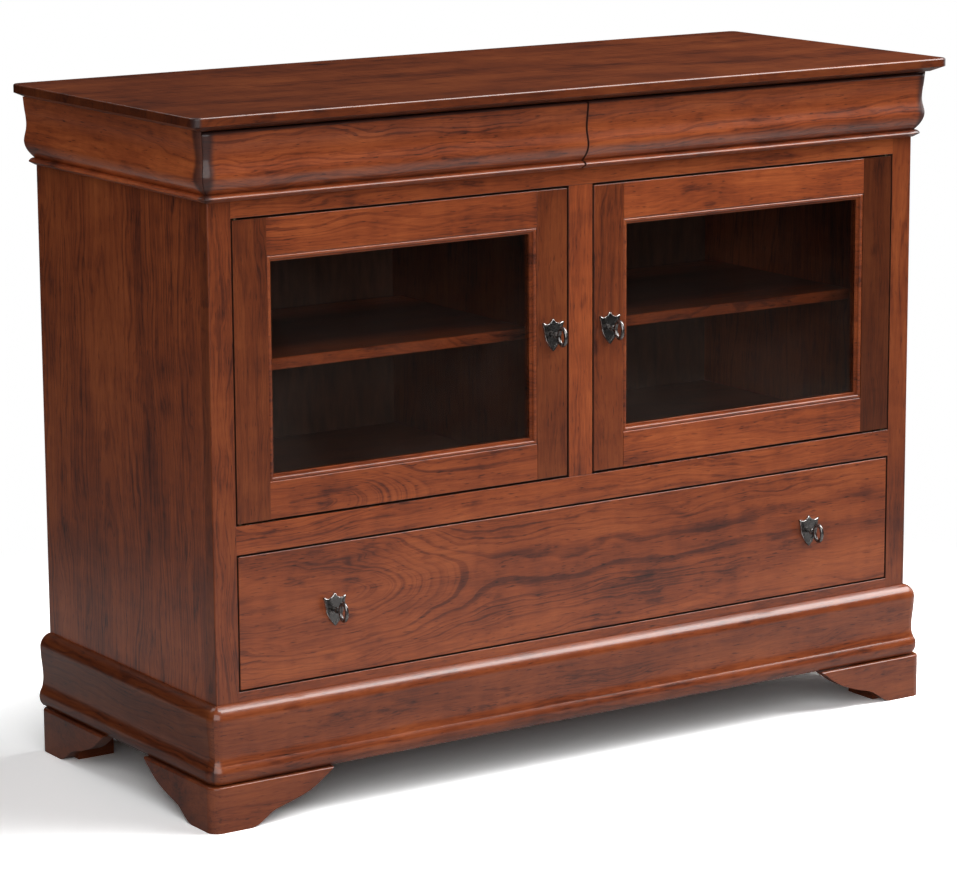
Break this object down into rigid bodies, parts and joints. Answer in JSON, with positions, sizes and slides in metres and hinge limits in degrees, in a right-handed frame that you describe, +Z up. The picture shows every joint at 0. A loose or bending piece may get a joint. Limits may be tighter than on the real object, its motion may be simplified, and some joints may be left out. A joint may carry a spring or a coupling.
{
  "type": "console cabinet",
  "caption": "Cherry console cabinet with glazed doors over a wide drawer, hidden drawers in its moulded frieze, a moulded base and bracket feet.",
  "frame": {"origin": "middle of the footprint on the floor, between the feet", "axes": "+Z up, +X to the right along the front as seen by the user, front faces -Y"},
  "size_m": [1.22, 0.498, 0.93],
  "materials": {
    "cherry": "satin lacquer over dark reddish-brown stain",
    "inside_cherry": "satin lacquer over dark stain",
    "drawer_wood": "clear matte sealer",
    "back_wood": "thin matte stain on plywood",
    "smoked_glass": "polished",
    "antique_pewter": "darkened pewter, polished on the raised parts",
    "hinge_brass": "satin",
    "zinc_steel": "zinc plated",
    "catch_plastic": "moulded"
  },
  "bodies": {
    "case": {"back_panel": "back_wood", "base_moulding_front": "cherry", "base_moulding_sides": "cherry", "case_bottom": "inside_cherry", "centre_partition": "inside_cherry", "compartment_floor": "inside_cherry", "door_catches": "catch_plastic", "drawer_deck": "inside_cherry", "face_mullion": "cherry", "face_rail_bottom": "cherry", "face_rail_middle": "cherry", "face_rail_top": "cherry", "face_stile_left": "cherry", "face_stile_right": "cherry", "foot_front_left": "cherry", "foot_front_right": "cherry", "foot_rear_left": "cherry", "foot_rear_right": "cherry", "frieze_divider": "inside_cherry", "frieze_moulding_left": "cherry", "frieze_moulding_right": "cherry", "hinge_case_leaves": "hinge_brass", "shelf_left": "inside_cherry", "shelf_pins": "zinc_steel", "shelf_right": "inside_cherry", "side_panel_left": "cherry", "side_panel_right": "cherry", "slide_case_members": "zinc_steel", "slide_packers": "drawer_wood", "top_panel": "cherry"},
    "door_left": {"door_left_catch_strike": "zinc_steel", "door_left_glass": "smoked_glass", "door_left_glazing_beads": "cherry", "door_left_hinge_leaves": "hinge_brass", "door_left_key_pull": "antique_pewter", "door_left_rails": "cherry", "door_left_shield_plate": "antique_pewter", "door_left_stiles": "cherry"},
    "door_right": {"door_right_catch_strike": "zinc_steel", "door_right_glass": "smoked_glass", "door_right_glazing_beads": "cherry", "door_right_hinge_leaves": "hinge_brass", "door_right_key_pull": "antique_pewter", "door_right_rails": "cherry", "door_right_shield_plate": "antique_pewter", "door_right_stiles": "cherry"},
    "frieze_drawer_left": {"frieze_drawer_left_box": "drawer_wood", "frieze_drawer_left_front": "cherry", "frieze_drawer_left_slide_members": "zinc_steel"},
    "frieze_middle_left": {"frieze_drawer_left_slide_middles": "zinc_steel"},
    "frieze_drawer_right": {"frieze_drawer_right_box": "drawer_wood", "frieze_drawer_right_front": "cherry", "frieze_drawer_right_slide_members": "zinc_steel"},
    "frieze_middle_right": {"frieze_drawer_right_slide_middles": "zinc_steel"},
    "lower_drawer": {"lower_drawer_box": "drawer_wood", "lower_drawer_front": "cherry", "lower_drawer_key_pulls": "antique_pewter", "lower_drawer_shield_plates": "antique_pewter", "lower_drawer_slide_members": "zinc_steel"},
    "lower_middle": {"lower_drawer_slide_middles": "zinc_steel"}
  },
  "joints": [
    {"name": "door_left_hinge", "type": "hinge", "parent": "case", "child": "door_left", "pos_m": [-0.5315, -0.208, 0.597], "axis": [0, 0, -1], "range_deg": [0, 110]},
    {"name": "door_right_hinge", "type": "hinge", "parent": "case", "child": "door_right", "pos_m": [0.5315, -0.208, 0.597], "axis": [0, 0, 1], "range_deg": [0, 110]},
    {"name": "frieze_slide_left", "type": "slide", "parent": "case", "child": "frieze_drawer_left", "axis": [0, -1, 0], "range_m": [0, 0.35]},
    {"name": "frieze_slide_left_middle", "type": "slide", "parent": "case", "child": "frieze_middle_left", "axis": [0, -1, 0], "range_m": [0, 0.175]},
    {"name": "frieze_slide_right", "type": "slide", "parent": "case", "child": "frieze_drawer_right", "axis": [0, -1, 0], "range_m": [0, 0.35]},
    {"name": "frieze_slide_right_middle", "type": "slide", "parent": "case", "child": "frieze_middle_right", "axis": [0, -1, 0], "range_m": [0, 0.175]},
    {"name": "lower_slide", "type": "slide", "parent": "case", "child": "lower_drawer", "axis": [0, -1, 0], "range_m": [0, 0.4]},
    {"name": "lower_slide_middle", "type": "slide", "parent": "case", "child": "lower_middle", "axis": [0, -1, 0], "range_m": [0, 0.2]}
  ],
  "couplings": [
    {"joint": "frieze_slide_left_middle", "follows": "frieze_slide_left", "ratio": 0.5},
    {"joint": "frieze_slide_right_middle", "follows": "frieze_slide_right", "ratio": 0.5},
    {"joint": "lower_slide_middle", "follows": "lower_slide", "ratio": 0.5}
  ]
}
